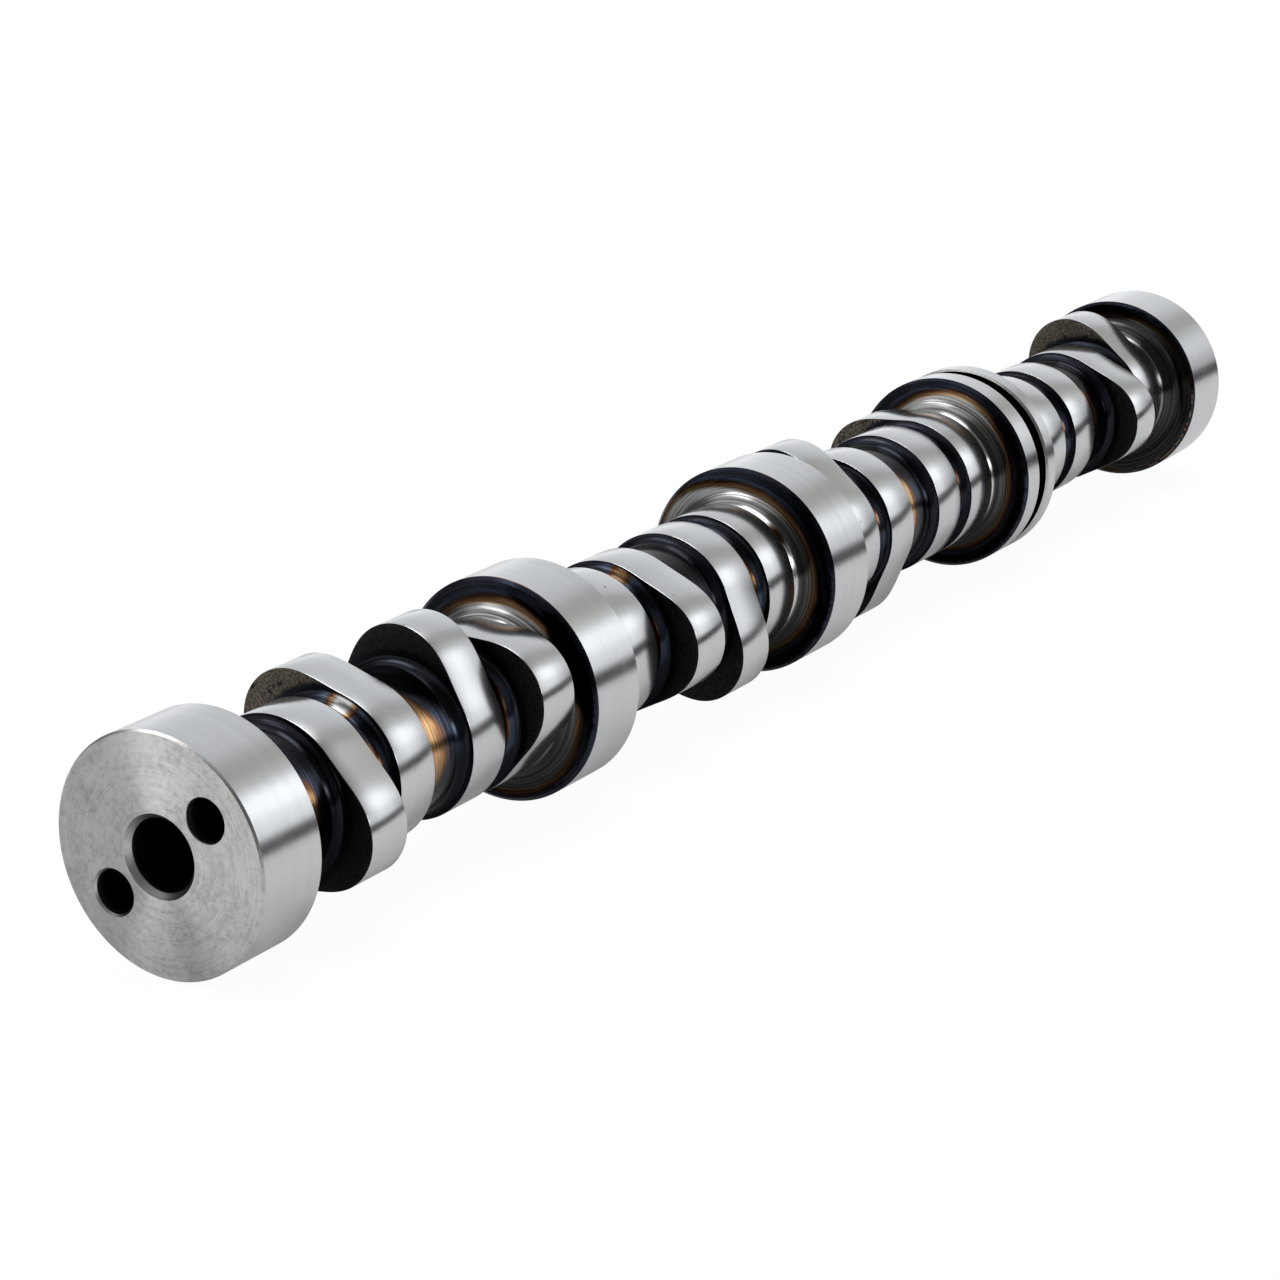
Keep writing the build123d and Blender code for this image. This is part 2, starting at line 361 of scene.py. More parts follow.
def flat_face(skin, place, rim_radius, holes):
    """Flat disc with holes cut in it, in triangles that keep every rim."""
    rims = [revolved([place], [rim_radius])[0]]
    for hole in holes:
        mouth = [hole.radius + hole.mouth]
        rims.append(revolved([place], mouth, (hole.y, hole.z), HOLE_STEPS)[0])
    points = np.concatenate(rims)[:, 1:]
    edges, first = [], 0
    for rim in rims:
        ring = np.arange(first, first + len(rim))
        edges += np.stack([ring, np.roll(ring, -1)], axis=1).tolist()
        first += len(rim)
    found = delaunay_2d_cdt(points.tolist(), edges, [], 0, WELD)
    flat, faces = np.array(found[0]), np.array(found[2])
    middle = flat[faces].mean(axis=1)
    kept = np.ones(len(faces), bool)
    for hole in holes:
        clear = (hole.radius + hole.mouth) * cos(pi / HOLE_STEPS)
        kept &= np.hypot(middle[:, 0] - hole.y, middle[:, 1] - hole.z) > clear
    solid = np.concatenate([np.full((len(flat), 1), place), flat], axis=1)
    skin.add(solid, faces[kept], FACED)


def drilled_face(skin, place, inward, rim_radius, holes, tone):
    """Flat face and its holes, each with countersink, wall and drill point."""
    flat_face(skin, place, rim_radius, holes)
    for y, z, radius, depth, mouth in holes:
        edge = mouth * MOUTH_EDGE
        wall = [depth * share for share in WALL_RINGS]
        depths = np.array([0.0, edge, mouth, *wall, depth + radius * DRILL_POINT])
        radii = [radius + mouth, radius + mouth - edge, *[radius] * (1 + len(wall)), 0.0]
        grid = revolved(place + inward * depths, radii, (y, z), HOLE_STEPS)
        skin.grid(grid, BORED, depths, tone)


def nose_face(skin, sizes):
    """Front face of the spigot, with its centre hole and three bolt holes."""
    rim = (sizes.nose_radius - sizes.nose_chamfer) / MM
    drilled_face(skin, -sizes.nose_length / MM, 1, rim, NOSE_HOLES, 1.0)


def rear_face(skin, sizes):
    """Rear face with its bore and its two smaller holes, painted dark, with a painted highlight
    on one side.
    """
    rim = (sizes.journal_radius - sizes.rear_chamfer) / MM
    # Painted shade in the rear holes, with a painted highlight on one side of each.
    dark, bright = BORE_PAINTED_TONES
    tone = dark + bright * swell(*HOLE_PAINTED_GLINT_SIDE, ring_clock(HOLE_STEPS))[None, :]
    drilled_face(skin, JOURNAL_SPANS[REAR_JOURNAL][1], -1, rim, REAR_HOLES, tone)


# ---- heat tints ----
# Heat runs from 0, bare, over straw, brown and blue to 1, black.  Distances in tables are
# in mm.  A side is a clock angle and how narrow the swelling round it is.
HEAT_BY_RADIUS = (
    (17.0, 0.06), (20.2, 0.10), (21.2, 0.36), (22.0, 0.5), (23.0, 0.72), (24.0, 0.9),
    (25.8, 0.86), (26.6, 0.72), (27.5, 0.62),
)
HEAT_AFTER_LOBE = ((0.0, 1.0), (6.0, 0.95), (9.5, 0.88), (12.5, 0.62))
HEAT_NEXT_TO_LOBE = ((0.0, 1.0), (0.8, 0.8), (1.6, 0.55), (2.4, 0.2))
# Painted shade on the straight part of a neck, as tone by the height up its fillet; then two
# painted highlights on the black part of a neck, each a strength and a side.
FOOT_PAINTED_SHADE = ((0.0, 0.5), (0.4, 1.0))
UPPER_PAINTED_GLEAM, UPPER_PAINTED_GLEAM_SIDE = 0.9, (5.0, 5.0)
LOWER_PAINTED_GLEAM, LOWER_PAINTED_GLEAM_SIDE = 2.0, (68.0, 40.0)

# Patch on one side of a neck ahead of a journal: how much cooler it is and how far it reaches.
# Ahead of the rear journal it is a straw tint; ahead of the others it is bare metal where the
# side window reflects, standing in for a painted glint. Its tone is raised a little too.
PAINTED_GLINT_PATCH = (0.80, 4.0)
REAR_WARM_PATCH = (0.58, 14.5)
WARM_SIDE = (77.0, 6.0)
WARM_SHARE = ((0.0, 1.0), (0.85, 1.0), (1.0, 0.0))
WARM_TONE = 0.3

# Straw-coloured part of a neck: its reach from the lobe behind it, its heat and share by
# the share of that reach, and its gold tone with a painted highlight on one side.
STRAW_REACH = {
    "lobe_8_exhaust": 8.8, "lobe_2_exhaust": 8.2, "lobe_4_exhaust": 7.4,
    "lobe_6_exhaust": 3.0, "lobe_7_intake": 5.4,
}
SHORT_STRAW = 4.6
FULL_STRAW = 7.4
STRAW_HEAT = ((0.0, 0.48), (0.5, 0.34), (0.8, 0.40), (1.0, 0.5), (1.25, 0.66), (1.6, 0.95))
STRAW_SHARE = ((0.0, 1.0), (0.9, 1.0), (1.2, 0.0))
STRAW_LEAST, STRAW_SIDE = 0.25, (76.0, 4.0)
GOLD_TONE, GOLD_PAINTED_GLEAM, GOLD_SIDE = 0.20, 1.9, (72.0, 11.0)

# Painted glint on top of a neck: bare metal where the skylight reflects; how bare it is, and its
# tone by how bare it is.
NECK_PAINTED_GLINT = {"lobe_7_exhaust": 0.95, "lobe_5_exhaust": 0.6}
NECK_PAINTED_GLINT_SIDE = (16.0, 36.0)
NECK_PAINTED_GLINT_TONE = ((0.3, 1.0), (0.5, 0.35), (0.72, 0.5), (0.85, 0.9))

# Rear side of a journal: heat by the radius, tone and share of the brown ring by the heat,
# the side of the ring's painted highlight, share of the polished foot by the height above
# it, and the side where the cool metal carries a painted sheen.
HEAT_OUTWARDS = (
    (19.0, 0.0), (21.2, 0.10), (21.9, 0.32), (23.2, 0.50), (23.9, 0.66), (24.8, 0.90),
    (28.0, 0.96),
)
RING_TONE = ((0.60, 0.16), (0.80, 1.0))
RING_SHARE = ((0.12, 0.0), (0.30, 1.0), (0.62, 1.0), (0.80, 0.0))
RING_SIDE = (17.0, 14.0)
POLISHED_SHARE = ((0.35, 1.0), (0.95, 0.0))
PAINTED_SHEEN_SIDE = (-10.0, 2.5)
SIDE_RINGS = 4

# Heat at a journal's rear edge, a strip down the chamfer, at its foot, and in the groove.
EDGE_HEAT, RIM_HEAT, FOOT_HEAT, GROOVE_HEAT = 0.45, 0.72, 0.92, 0.95
RIM_STRIP = 0.25  # share of the chamfer


class Stain(NamedTuple):
    """A stain behind a journal: its side, radius, half width and change of heat."""

    side: tuple
    radius: float
    half_width: float
    change: float


class RearSide(NamedTuple):
    """Finish of a journal's rear side, and the shape of its fillet's foot."""

    out: float  # how far out the heat tint stands, mm
    more: float  # how much further on one side, mm
    side: tuple  # that side
    dull: float  # tone of the cool metal inside the tint
    bright: float  # and on the side of its painted sheen
    glint: float  # how much brighter the brown ring is on one side, a painted highlight
    polished: float  # tone of the collar and of the fillet's foot
    drop: float  # how far that foot lies below the collar, mm
    stains: tuple = ()


REAR_SIDES = (
    RearSide(1.2, 6.0, (125.0, 2.0), 0.10, 0.18, 0.1, 0.9, 1.5),
    RearSide(-0.4, 2.0, (15.0, 4.0), 0.11, 1.00, 1.1, 1.9, 1.5),
    RearSide(-0.5, 4.6, (-64.0, 3.6), 0.10, 1.00, 0.1, 1.9, 1.3, (
        Stain((100.0, 130.0), 24.2, 1.3, -0.45),
        Stain((46.0, 60.0), 18.5, 0.5, 0.42),
    )),
    RearSide(-0.1, 2.6, (160.0, 2.0), 0.12, 0.90, 0.1, 1.7, 1.0),
)


def black_tone(rise):
    """Tone of the black part of a neck: two painted highlights along it, and painted shade at a
    fillet's foot.
    """
    painted_gleam = 1.0 + UPPER_PAINTED_GLEAM * swell(*UPPER_PAINTED_GLEAM_SIDE) + LOWER_PAINTED_GLEAM * swell(*LOWER_PAINTED_GLEAM_SIDE)
    return painted_gleam * read(FOOT_PAINTED_SHADE, rise)


def ahead_of_journal(behind, before, radius, rise, cooler, reach):
    """Heat and tone of a neck ahead of a journal, cooler in a patch on one side: a straw patch
    ahead of the rear journal, elsewhere bare metal standing in for a painted glint.
    """
    heat = max(read(HEAT_BY_RADIUS, radius), read(HEAT_AFTER_LOBE, behind))
    near = read(WARM_SHARE, before / reach) * swell(*WARM_SIDE)
    return heat - cooler * near, black_tone(rise) + WARM_TONE * near


def between_lobes(behind, before, radius, rise, straw, painted_glint):
    """Heat and tone of a neck between lobes: black, then straw, with painted highlights, and a
    bare streak on top standing in for a painted glint.
    """
    inside = before / (straw * (STRAW_LEAST + (1 - STRAW_LEAST) * swell(*STRAW_SIDE)))
    heat = np.maximum(read(STRAW_HEAT, inside), read(HEAT_NEXT_TO_LOBE, behind))
    # Painted highlight on one side of the straw part.
    painted_gleam = GOLD_PAINTED_GLEAM * min(1.0, straw / FULL_STRAW) ** 2
    gold = GOLD_TONE + painted_gleam * swell(*GOLD_SIDE)
    tone = black_tone(rise)
    tone = tone + (gold - tone) * read(STRAW_SHARE, inside)
    # Bare metal where the skylight reflects, a painted glint.
    bare = painted_glint * swell(*NECK_PAINTED_GLINT_SIDE)
    return heat * (1.0 - bare), tone * read(NECK_PAINTED_GLINT_TONE, bare)


# ---- shaft sections ----
class Section:
    """Half section of a turned piece, walked from its front to its rear."""

    def __init__(self):
        self.rings = []

    def to(self, place, radius, slot=GROUND, field=0.0, tone=1.0):
        """Adds a ring with its field and tone, and the slot of the strip that leads to it."""
        finish = [np.broadcast_to(value, ROUND_STEPS) for value in (field, tone)]
        self.rings.append((place, radius, slot, *finish))

    def close(self, place, radius):
        """Closes the section with a flat disc."""
        self.to(place, radius, TINTED)
        self.to(place, 0.0, TINTED)

    def grid(self, skin):
        """Adds the section, turned round the shaft's axis, to a skin."""
        places, radii, slots, fields, tones = zip(*self.rings)
        skin.grid(revolved(places, radii), slots[1:], np.array(fields), np.array(tones))


def fillet(height, bend, foot):
    """Concave round from a foot's radius up by a height: distances out, and radii."""
    turn = np.linspace(0.0, np.arccos(1 - height / bend), FILLET_STEPS)
    reach = bend * sin(turn[-1])
    return reach - bend * np.sin(turn), foot + bend * (1 - np.cos(turn))


def lobe_fillet_height(sizes):
    """Height of the fillet at a lobe, which ends just below the lobe's heel."""
    return (sizes.base_radius - sizes.neck_radius) / MM - FILLET_STOP


def neck(section, front, rear, rear_height, sizes, tint, *settings):
    """Neck from a lobe to the next shoulder, with a fillet at each end.

    tint takes the distances from both ends, radius, height and settings to heat and tone.
    """
    foot, bend = sizes.neck_radius / MM, sizes.fillet_radius / MM
    out, heights = fillet(lobe_fillet_height(sizes), bend, foot)
    places, radii = list(front + out[::-1]), list(heights[::-1])
    out, heights = fillet(rear_height, bend, foot)
    if not places[-1] < rear - out[0]:
        raise ValueError(f"the fillets don't fit on the neck at {front:.1f} mm")
    straight = np.linspace(places[-1], rear - out[0], NECK_STEPS)[1:-1]
    places += list(straight) + list(rear - out)
    radii += [foot] * len(straight) + list(heights)
    for place, radius in zip(places, radii):
        finish = tint(place - front, rear - place, radius, radius - foot, *settings)
        section.to(place, radius, TINTED, *finish)


def shoulder(section, place, inner, outer):
    """Flat side of a journal, in rings that carry the heat tint."""
    for radius in np.linspace(inner, outer, SHOULDER_RINGS):
        section.to(place, radius, TINTED, read(HEAT_BY_RADIUS, radius))


def collar(section, looks, rear, behind, rim, sizes):
    """Rear side of a journal, its quarter-round fillet, and the collar up to the next lobe."""
    shift = looks.out + looks.more * swell(*looks.side)
    # Painted sheen: the cool metal is brighter towards one side.
    cool = looks.dull + (looks.bright - looks.dull) * swell(*PAINTED_SHEEN_SIDE)
    bend = sizes.collar_fillet / MM
    foot = sizes.collar_radius / MM - looks.drop
    reach, heights = fillet(bend, bend, foot)
    flat = list(np.linspace(rim, foot + bend, SIDE_RINGS)[:-1])
    places = [rear] * len(flat) + list(rear + reach[::-1])
    for place, radius in zip(places, flat + list(heights[::-1])):
        tone = cool + (looks.polished - cool) * read(POLISHED_SHARE, radius - foot)
        heat = read(HEAT_OUTWARDS, radius - shift)
        for stain in looks.stains:
            fade = np.exp(-((radius - stain.radius) / stain.half_width) ** 2)
            heat = heat + stain.change * swell(*stain.side) * fade
        # Painted highlight on one side of the brown ring.
        ring_tone = read(RING_TONE, heat) + looks.glint * swell(*RING_SIDE)
        tone = tone + (ring_tone - tone) * read(RING_SHARE, heat)
        section.to(place, radius, TINTED, heat, tone)
    section.to(behind, foot, TINTED, 0.0, looks.polished)
    section.close(behind + STUB, foot)


def nose(section, sizes, rim):
    """Spigot for the gear, and the thrust face behind it."""
    radius, chamfer = sizes.nose_radius / MM, sizes.nose_chamfer / MM
    tip = -sizes.nose_length / MM
    section.to(tip, radius - chamfer)
    section.to(tip + chamfer, radius, FACED)
    section.to(0.0, radius, GROUND)
    section.to(0.0, rim, FACED)


def oil_groove(section, sizes, radius):
    """Groove round a journal, with a chamfer on each edge."""
    centre = BEARING_WALLS[0] - sizes.groove_offset / MM
    start, end = span(centre, sizes.groove_width / MM)
    bottom, cut = radius - sizes.groove_depth / MM, sizes.groove_break / MM
    section.to(start - cut, radius, GROUND)
    section.to(start, radius - cut, FACED, GROOVE_HEAT)
    section.to(start, bottom, TINTED, GROOVE_HEAT)
    section.to(end, bottom, TINTED, GROOVE_HEAT)
    section.to(end, radius - cut, TINTED, GROOVE_HEAT)
    section.to(end + cut, radius, FACED)


def journal_section(number, sizes):
    """Section of one journal with its necks, which end inside the next lobes."""
    front, rear = JOURNAL_SPANS[number]
    radius, chamfer = sizes.journal_radius / MM, sizes.journal_chamfer / MM
    half = sizes.lobe_width / MM / 2
    section = Section()
    if number == FRONT_JOURNAL:
        nose(section, sizes, radius - chamfer)
        section.to(front + chamfer, radius, FACED)
    else:
        foot, bend = sizes.neck_radius / MM, sizes.fillet_radius / MM
        ahead = max(lobe.centre for lobe in LOBES if lobe.centre < front) + half
        patch = REAR_WARM_PATCH if number == REAR_JOURNAL else PAINTED_GLINT_PATCH
        section.to(ahead - STUB, 0.0)
        section.to(ahead - STUB, foot + lobe_fillet_height(sizes), TINTED)
        neck(section, ahead, front, bend, sizes, ahead_of_journal, *patch)
        shoulder(section, front, foot + bend, radius - chamfer)
        section.to(front + chamfer, radius, TINTED)
    if number == GROOVED_JOURNAL:
        oil_groove(section, sizes, radius)
    if number == REAR_JOURNAL:
        chamfer = sizes.rear_chamfer / MM
        section.to(rear - chamfer, radius, GROUND, EDGE_HEAT)
        section.to(rear, radius - chamfer, FACED, FOOT_HEAT)
        return section
    behind = min(lobe.centre for lobe in LOBES if lobe.centre > rear) - half
    strip = RIM_STRIP * chamfer
    section.to(rear - chamfer, radius, GROUND, EDGE_HEAT)
    section.to(rear - (chamfer - strip), radius - strip, TINTED, RIM_HEAT)
    section.to(rear, radius - chamfer, TINTED, FOOT_HEAT)
    collar(section, REAR_SIDES[number], rear, behind, radius - chamfer, sizes)
    return section


# ---- shader arithmetic ----
COLOUR_RESULT = 2  # which of a Mix node's outputs is a colour


def on_terms(operation):
    """Method that adds a Math node on a term and another value."""
    return lambda term, other: term.graph.math(operation, term, other)


class Term:
    """A node's output that takes part in arithmetic."""

    def __init__(self, graph, socket):
        self.graph, self.socket = graph, socket

    __add__ = __radd__ = on_terms("ADD")
    __mul__ = __rmul__ = on_terms("MULTIPLY")
    __sub__ = on_terms("SUBTRACT")
    __pow__ = on_terms("POWER")

    def __rsub__(self, other):
        return self.graph.math("SUBTRACT", other, self)


class Graph:
    """A node tree, emptied, and the few calls that fill it."""

    def __init__(self, tree):
        self.tree = tree
        tree.nodes.clear()

    def node(self, kind, settings=None, inputs=None):
        """Adds a shader node: its settings first, then its values and links."""
        node = self.tree.nodes.new("ShaderNode" + kind)
        for name, value in (settings or {}).items():
            setattr(node, name, value)
        for key, value in (inputs or {}).items():
            self.feed(self.input(node, key), value)
        return node

    def input(self, node, key):
        """A node's input by its number, or by its identifier or name."""
        if isinstance(key, int):
            return node.inputs[key]
        for socket in node.inputs:
            if key in (socket.identifier, socket.name) and socket.enabled:
                return socket
        raise KeyError(key)

    def feed(self, socket, value):
        """Links a term to an input, or writes a plain value into it."""
        if isinstance(value, Term):
            self.tree.links.new(value.socket, socket)
        else:
            socket.default_value = value

    def out(self, node, key=0):
        """A node's output, by its number or name, as a term."""
        return Term(self, node.outputs[key])

    def math(self, operation, *values):
        """A Math node on terms and numbers."""
        settings, inputs = {"operation": operation}, dict(enumerate(values))
        return self.out(self.node("Math", settings, inputs))

    def mix(self, factor, first, second):
        """Colour between two; each is a term or three numbers."""
        ends = [(*end, 1.0) if isinstance(end, tuple) else end for end in (first, second)]
        inputs = {"Factor_Float": factor, "A_Color": ends[0], "B_Color": ends[1]}
        return self.out(self.node("Mix", {"data_type": "RGBA"}, inputs), COLOUR_RESULT)

    def scale(self, colour, factor):
        """Colour made brighter or darker by one factor."""
        settings, inputs = {"operation": "SCALE"}, {"Vector": colour, "Scale": factor}
        return self.out(self.node("VectorMath", settings, inputs))

    def step(self, value, low, high):
        """Smooth step from 0 at low to 1 at high; falls where low is above high."""
        inputs = {"Value": value, "From Min": min(low, high), "From Max": max(low, high)}
        if low > high:
            inputs.update({"To Min": 1.0, "To Max": 0.0})
        return self.out(self.node("MapRange", {"interpolation_type": "SMOOTHSTEP"}, inputs))

    def zone(self, *limits):
        """Product of smooth steps, each given as (value, low, high)."""
        product = self.step(*limits[0])
        for limit in limits[1:]:
            product = product * self.step(*limit)
        return product

    def band(self, value, centre, half_width):
        """1 at the centre of a band, falling smoothly to 0 at its edges."""
        return self.zone(
            (value, centre - half_width, centre), (value, centre + half_width, centre)
        )

    def place(self, coordinates="Object"):
        """x, y and z in an object, or of the direction in a world."""
        place = self.out(self.node("TexCoord"), coordinates)
        parts = self.node("SeparateXYZ", inputs={"Vector": place})
        return [self.out(parts, axis) for axis in range(3)]

    def clock(self, y, z):
        """Clock angle round the shaft's axis, from -180 to 180."""
        return self.math("ARCTAN2", y, z) * (180 / pi)

    def noise(self, place, scale, detail=2.0, roughness=0.5):
        """Noise from 0 to 1 at a place (x, y, z), in cells of 1 / scale."""
        vector = self.out(self.node("CombineXYZ", inputs=dict(enumerate(place))))
        inputs = {"Vector": vector, "Scale": scale, "Detail": detail, "Roughness": roughness}
        return self.out(self.node("TexNoise", inputs=inputs), "Fac")

    def attribute(self, name):
        """A number that the mesh carries at each point."""
        settings = {"attribute_type": "GEOMETRY", "attribute_name": name}
        return self.out(self.node("Attribute", settings), "Fac")

    def metal(self, base, roughness, height, depth):
        """Metal whose surface rises by height times depth, and its output."""
        bump = self.node("Bump", inputs={"Height": height, "Distance": depth})
        shader = self.node("BsdfPrincipled", inputs={
            "Base Color": base, "Roughness": roughness, "Metallic": 1.0,
            "Normal": self.out(bump, "Normal"),
        })
        self.node("OutputMaterial", inputs={"Surface": self.out(shader)})


def new_graph(name):
    """A new material and the graph of its nodes."""
    material = bpy.data.materials.new(name)
    material.use_nodes = True
    return material, Graph(material.node_tree)


# ---- finishes ----
# Cells of noise in a metre, across the lines that a wheel or tool leaves; turning has the
# cells along its lines, the detail and the roughness too.
GRINDING_LINES, GRINDING_BANDS = 2600, 420
TURNING_LINES, TURNING_GROOVES = (2600, 25, 3.0, 0.7), (1400, 12, 2.0, 0.6)
DRILLING_LINES = 2500
# The same in a millimetre of radius.
FACING_LINES, FACING_ARCS, LOBE_SIDE_LINES = 3.2, 1.1, 2.4
# Depth of the bump, metres.
GRINDING_DEPTH, TURNING_DEPTH, FACING_DEPTH = 2.4e-6, 1.4e-5, 1.6e-5
DRILLING_DEPTH, SCALE_DEPTH = 2e-5, 1.2e-5

GROUND_BAND_SHADE, FACED_SHADE = 0.86, 0.62
PIT = (0.12, 0.11, 0.10)
# Painted shade that a hole's wall takes deeper down, and the colour of its stains.
HOLE_PAINTED_SHADE, HOLE_STAIN = (0.10, 0.085, 0.07), (0.04, 0.035, 0.03)
# Between which heats each tint takes over.
TINTS = {
    "straw": (0.16, 0.34), "brown": (0.36, 0.50), "blue": (0.50, 0.64), "oxide": (0.72, 0.95),
}
LEAST_STREAK = 0.15
ROUGH_SKIN = (20.2, 21.6)  # radii between which a lobe's side turns rough, mm


def ground_steel(graph, finishes, x, y, z):
    """Cylindrically ground steel: fine lines round the shaft over faint broad bands."""
    fine = graph.noise((x * GRINDING_LINES, y * 40, z * 40), 1.0, 3.0, 0.7)
    broad = graph.noise((x * GRINDING_BANDS, y * 9, z * 9), 1.0)
    cloud = graph.noise((x, y, z), 120.0, 3.0)
    pit = graph.step(graph.noise((x, y, z), 520.0, 1.0), 0.80, 0.84)
    base = tuple(finishes.ground)
    darker = tuple(GROUND_BAND_SHADE * c for c in base)
    tone = graph.mix(graph.math("MULTIPLY_ADD", broad, 0.8, fine * 0.2 - 0.02), darker, base)
    tone = graph.mix(pit, tone, PIT)
    graph.metal(tone, 0.115 + fine * 0.09 + cloud * 0.06, fine, GRINDING_DEPTH)


def tinted_steel(graph, finishes, x, y, z):
    """Turned steel under its heat tint: cool grey, straw, brown, blue-black, then black."""
    radius = (y * y + z * z) ** 0.5
    about = y + z * 0.7
    line, groove = [
        graph.noise((x * across, radius * across, about * along), 1.0, detail, roughness)
        for across, along, detail, roughness in (TURNING_LINES, TURNING_GROOVES)
    ]
    cloud = graph.noise((x, y, z), 70.0, 4.0, 0.6)
    grain = graph.noise((x, y, z), 700.0, 3.0, 0.6)
    heat = graph.attribute("field") + (cloud - 0.5) * 0.30
    heat = heat + (groove - 0.5) * 0.30 + (line - 0.5) * 0.10
    base = tuple(finishes.turned)
    for name, limits in TINTS.items():
        base = graph.mix(graph.step(heat, *limits), base, tuple(getattr(finishes, name)))
    streak = 1.0 + (groove - 0.5) * 3.6 + (line - 0.5) * 3.2
    streak = graph.math("MAXIMUM", streak, LEAST_STREAK)
    # tone carries painted highlights and painted shade too
    base = graph.scale(base, graph.attribute("tone") * streak)
    roughness = 0.10 + line * 0.13 + grain * 0.05
    graph.metal(base, roughness, line * 0.5 + groove, TURNING_DEPTH)


def faced_steel(graph, finishes, x, y, z):
    """Faced steel: concentric tool marks over mottling, with painted highlights and painted
    shade in sectors round the axis.
    """
    radius = (y * y + z * z) ** 0.5 * 1000
    cloud = graph.noise((x, y, z), 160.0, 4.0, 0.6)
    drift = graph.noise((x, y, z), 60.0)
    rings = graph.noise((radius * FACING_LINES, y * 30, z * 30), 1.0, 3.0, 0.75)
    arcs = graph.noise((radius * FACING_ARCS, y * 90, z * 90), 1.0, 3.0, 0.6)
    fleck = graph.noise((x, y, z), 800.0, 3.0, 0.7)
    tone = rings * 0.5 + arcs * 0.5 + (cloud - 0.5) * 0.5
    tone = tone + (drift - 0.5) * 0.3 + (fleck - 0.5) * 0.9
    base = tuple(finishes.faced)
    darker = tuple(FACED_SHADE * c for c in base)
    tint = graph.mix(graph.step(tone, 0.12, 0.72), darker, base)
    # Painted highlights and painted shade in sectors round the axis.
    clock = graph.clock(y, z)
    painted_fan = 1.0 + graph.band(clock, 5.0, 32.0) * 0.22 - graph.band(clock, 158.0, 22.0) * 0.22
    painted_fan = painted_fan - graph.zone((clock, -180.0, -140.0), (clock, -2.0, -40.0)) * 0.27
    painted_fan = painted_fan - graph.band(clock, -138.0, 22.0) * 0.10 + graph.band(clock, -166.0, 12.0) * 0.12
    tint = graph.scale(tint, painted_fan)
    graph.metal(tint, 0.24 + arcs * 0.16, rings + arcs * 0.6, FACING_DEPTH)


def bored_steel(graph, finishes, x, y, z):
    """Drilled wall: dull and dark, with painted shade deeper down."""
    rings = graph.noise((x * DRILLING_LINES, y * 60, z * 60), 1.0, 3.0)
    cloud = graph.noise((x, y, z), 300.0, 3.0)
    depth = graph.attribute("field")
    # Painted shade: darker with depth.
    base = graph.mix(graph.step(depth, 0.5, 3.0), tuple(finishes.faced), HOLE_PAINTED_SHADE)
    base = graph.mix(cloud * 0.4, base, HOLE_STAIN)
    # tone holds the rear holes' painted dark and painted highlight.
    base = graph.scale(base, graph.attribute("tone"))
    graph.metal(base, 0.30 + rings * 0.2, rings, DRILLING_DEPTH)


def lobe_side(graph, finishes, x, y, z):
    """Side of a lobe: turned and blackened near the shaft, rough scale towards the nose."""
    radius = (y * y + z * z) ** 0.5 * 1000
    lump = graph.noise((x, y, z), 420.0, 5.0, 0.65)
    speck = graph.noise((x, y, z), 1700.0, 3.0, 0.8)
    stain = graph.noise((x, y, z), 230.0, 4.0, 0.6)
    rings = graph.noise((radius * LOBE_SIDE_LINES, y * 20, z * 20), 1.0, 3.0)
    rough_skin = graph.step(radius + (lump - 0.5) * 3.0, *ROUGH_SKIN)
    share = rough_skin * graph.attribute("field") * graph.step(lump, 0.66, 0.56)
    skin = graph.scale(tuple(finishes.scale), 0.35 + stain * 0.6 + (speck - 0.5) * 4.0)
    skin = graph.mix(share, tuple(finishes.oxide), skin)
    height = rough_skin * (lump + speck * 0.5) * 5 + rings
    graph.metal(skin, 0.34 + rough_skin * 0.16 + rings * 0.1, height, SCALE_DEPTH)


SHAFT_FINISHES = (ground_steel, tinted_steel, faced_steel, bored_steel)
LOBE_FINISHES = (ground_steel, lobe_side)
DOWEL_FINISHES = (ground_steel,)


def materials_for(context, painters):
    """Materials in the order of a piece's slots, each painted once, from its x, y and z."""
    materials = []
    for paint in painters:
        material = bpy.data.materials.get(paint.__name__)
        if material is None:
            material, graph = new_graph(paint.__name__)
            paint(graph, context.scene.camshaft_finishes, *graph.place())
        materials.append(material)
    return materials


# ---- pieces ----
TRACK, SIDE = range(2)  # material slots of a lobe
SCALED_LOBES = {"lobe_7_exhaust": 1.0, "lobe_3_intake": 0.9, "lobe_1_intake": 0.9}
PLAIN_SCALE = 0.12


class CAMSHAFT_OT_journals(bpy.types.Operator):
    """Builds the five bearing journals with the turned shaft beside them"""

    bl_idname = "camshaft.journals"
    bl_label = "Journals"

    def execute(self, context):
        sizes = context.scene.camshaft_sizes
        materials = materials_for(context, SHAFT_FINISHES)
        for number, name in enumerate(JOURNAL_NAMES):
            skin = Skin()
            journal_section(number, sizes).grid(skin)
            if number == FRONT_JOURNAL:
                nose_face(skin, sizes)
            if number == REAR_JOURNAL:
                rear_face(skin, sizes)
            place_piece(f"journal_{name}", skin, materials)
        return {"FINISHED"}


